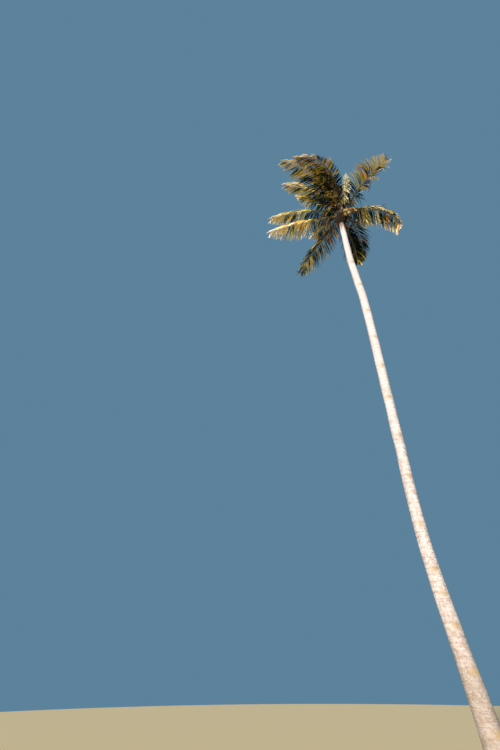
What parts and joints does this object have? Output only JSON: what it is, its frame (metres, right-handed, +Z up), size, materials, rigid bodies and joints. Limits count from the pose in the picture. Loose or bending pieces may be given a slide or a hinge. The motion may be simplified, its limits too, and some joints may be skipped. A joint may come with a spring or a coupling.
{
  "type": "coconut palm tree",
  "caption": "Tall coconut palm: a slender leaning trunk with a flared foot, wind-swept feather fronds round a fibrous heart, a spear leaf and a bunch of nuts.",
  "frame": {"origin": "middle of the flat cut under the trunk, at ground level", "axes": "+Z straight up, +X to the right and +Y away from the viewer as the picture shows the tree; the trunk leans towards -X"},
  "size_m": [6.2903, 5.7651, 22.2478],
  "materials": {
    "bark": "weathered grey palm bark with ring scars",
    "leaf_base_fibre": "matted brown leaf-base fibre",
    "frond": "waxy green to gold leaflets on a pale rib",
    "young_leaf": "pale yellow-green unopened leaf",
    "nut_husk": "smooth green-brown husk"
  },
  "bodies": {
    "root": {"trunk": "bark", "crown_heart": "leaf_base_fibre", "nut_bunch": "nut_husk", "frond_01": "frond", "frond_02": "frond", "frond_03": "frond", "frond_04": "frond", "frond_05": "frond", "frond_06": "frond", "frond_07": "frond", "frond_08": "frond", "frond_09": "frond", "frond_10": "frond", "frond_11": "frond", "frond_12": "frond", "frond_13": "frond", "frond_14": "frond", "frond_15": "frond", "frond_16": "frond", "young_leaf": "young_leaf", "spear_leaf": "young_leaf"}
  },
  "joints": []
}
